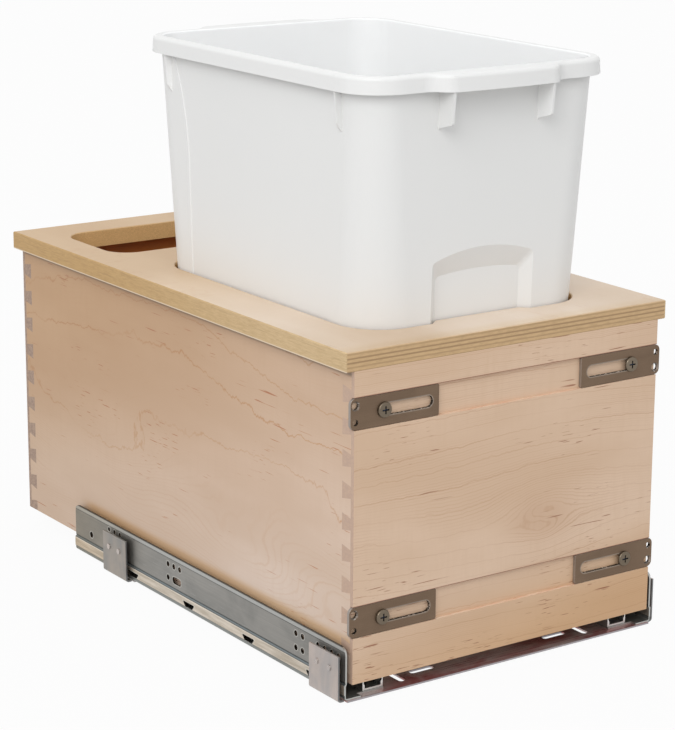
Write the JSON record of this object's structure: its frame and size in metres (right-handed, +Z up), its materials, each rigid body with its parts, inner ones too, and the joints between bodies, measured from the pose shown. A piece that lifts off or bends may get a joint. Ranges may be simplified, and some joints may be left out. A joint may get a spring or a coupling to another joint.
{
  "type": "pull-out waste bin",
  "caption": "Bottom-mounted pull-out drawer box with a plywood deck, a lift-out tapered waste bin, a rear bag opening, telescopic runners and door brackets.",
  "frame": {"origin": "centre of the object's footprint, at the underside of the tie plates", "axes": "+Z up, -Y towards the front with the door brackets, +X to the right seen from the front"},
  "size_m": [0.3376, 0.5624, 0.498],
  "materials": {
    "maple_cross_boards": "satin lacquer",
    "maple_sides": "satin lacquer",
    "maple_panel": "satin lacquer",
    "plywood_deck": "satin lacquer",
    "maple_band": "satin lacquer",
    "zinc_flange": "zinc plated",
    "bright_tie": "bright plated",
    "nickel_clip": "nickel plated",
    "rivet_steel": "bright",
    "runner_steel": "zinc plated",
    "cage_plastic": "moulded",
    "ball_steel": "polished",
    "stop_rubber": "moulded",
    "nickel_bracket": "nickel plated",
    "bright_screws": "polished",
    "bin_plastic": "fine moulded texture"
  },
  "bodies": {
    "frame": {"front_tie_plate": "bright_tie", "rear_tie_plate": "bright_tie", "left_flange_rail": "zinc_flange", "right_flange_rail": "zinc_flange", "left_runner_channel": "runner_steel", "right_runner_channel": "runner_steel", "front_left_clip_plate": "nickel_clip", "front_right_clip_plate": "nickel_clip", "rear_left_clip_plate": "nickel_clip", "rear_right_clip_plate": "nickel_clip", "clip_rivets": "rivet_steel", "web_rivets": "rivet_steel", "runner_end_stops": "stop_rubber"},
    "drawer": {"left_drawer_rail": "runner_steel", "right_drawer_rail": "runner_steel", "rail_screws": "bright_screws", "left_side": "maple_sides", "right_side": "maple_sides", "front_board": "maple_cross_boards", "back_board": "maple_cross_boards", "bottom_panel": "maple_panel", "deck": "plywood_deck", "left_edge_band": "maple_band", "right_edge_band": "maple_band", "bracket_screws": "bright_screws"},
    "lift_out_bin": {"bin": "bin_plastic"},
    "left_middle": {"left_middle_rail": "runner_steel"},
    "left_lower_ball_row": {"left_lower_cage": "cage_plastic", "left_lower_balls": "ball_steel"},
    "left_upper_ball_row": {"left_upper_cage": "cage_plastic", "left_upper_balls": "ball_steel"},
    "right_middle": {"right_middle_rail": "runner_steel"},
    "right_lower_ball_row": {"right_lower_cage": "cage_plastic", "right_lower_balls": "ball_steel"},
    "right_upper_ball_row": {"right_upper_cage": "cage_plastic", "right_upper_balls": "ball_steel"},
    "left_upper_door_bracket": {"left_upper_bracket": "nickel_bracket"},
    "right_upper_door_bracket": {"right_upper_bracket": "nickel_bracket"},
    "left_lower_door_bracket": {"left_lower_bracket": "nickel_bracket"},
    "right_lower_door_bracket": {"right_lower_bracket": "nickel_bracket"}
  },
  "joints": [
    {"name": "drawer_slide", "type": "slide", "parent": "frame", "child": "drawer", "axis": [0, -1, 0], "range_m": [0, 0.445]},
    {"name": "left_middle_slide", "type": "slide", "parent": "frame", "child": "left_middle", "axis": [0, -1, 0], "range_m": [0, 0.223]},
    {"name": "left_lower_cage_slide", "type": "slide", "parent": "frame", "child": "left_lower_ball_row", "axis": [0, -1, 0], "range_m": [0, 0.112]},
    {"name": "left_upper_cage_slide", "type": "slide", "parent": "frame", "child": "left_upper_ball_row", "axis": [0, -1, 0], "range_m": [0, 0.334]},
    {"name": "right_middle_slide", "type": "slide", "parent": "frame", "child": "right_middle", "axis": [0, -1, 0], "range_m": [0, 0.223]},
    {"name": "right_lower_cage_slide", "type": "slide", "parent": "frame", "child": "right_lower_ball_row", "axis": [0, -1, 0], "range_m": [0, 0.112]},
    {"name": "right_upper_cage_slide", "type": "slide", "parent": "frame", "child": "right_upper_ball_row", "axis": [0, -1, 0], "range_m": [0, 0.334]},
    {"name": "left_upper_bracket_slide", "type": "slide", "parent": "drawer", "child": "left_upper_door_bracket", "axis": [-1, 0, 0], "range_m": [0, 0.04]},
    {"name": "right_upper_bracket_slide", "type": "slide", "parent": "drawer", "child": "right_upper_door_bracket", "axis": [1, 0, 0], "range_m": [0, 0.04]},
    {"name": "left_lower_bracket_slide", "type": "slide", "parent": "drawer", "child": "left_lower_door_bracket", "axis": [-1, 0, 0], "range_m": [0, 0.04]},
    {"name": "right_lower_bracket_slide", "type": "slide", "parent": "drawer", "child": "right_lower_door_bracket", "axis": [1, 0, 0], "range_m": [0, 0.04]},
    {"name": "bin_lift", "type": "slide", "parent": "drawer", "child": "lift_out_bin", "axis": [0, 0, 1], "range_m": [0, 0.46]}
  ],
  "couplings": [
    {"joint": "left_middle_slide", "follows": "drawer_slide", "ratio": 0.5},
    {"joint": "left_lower_cage_slide", "follows": "drawer_slide", "ratio": 0.25},
    {"joint": "left_upper_cage_slide", "follows": "drawer_slide", "ratio": 0.75},
    {"joint": "right_middle_slide", "follows": "drawer_slide", "ratio": 0.5},
    {"joint": "right_lower_cage_slide", "follows": "drawer_slide", "ratio": 0.25},
    {"joint": "right_upper_cage_slide", "follows": "drawer_slide", "ratio": 0.75}
  ]
}
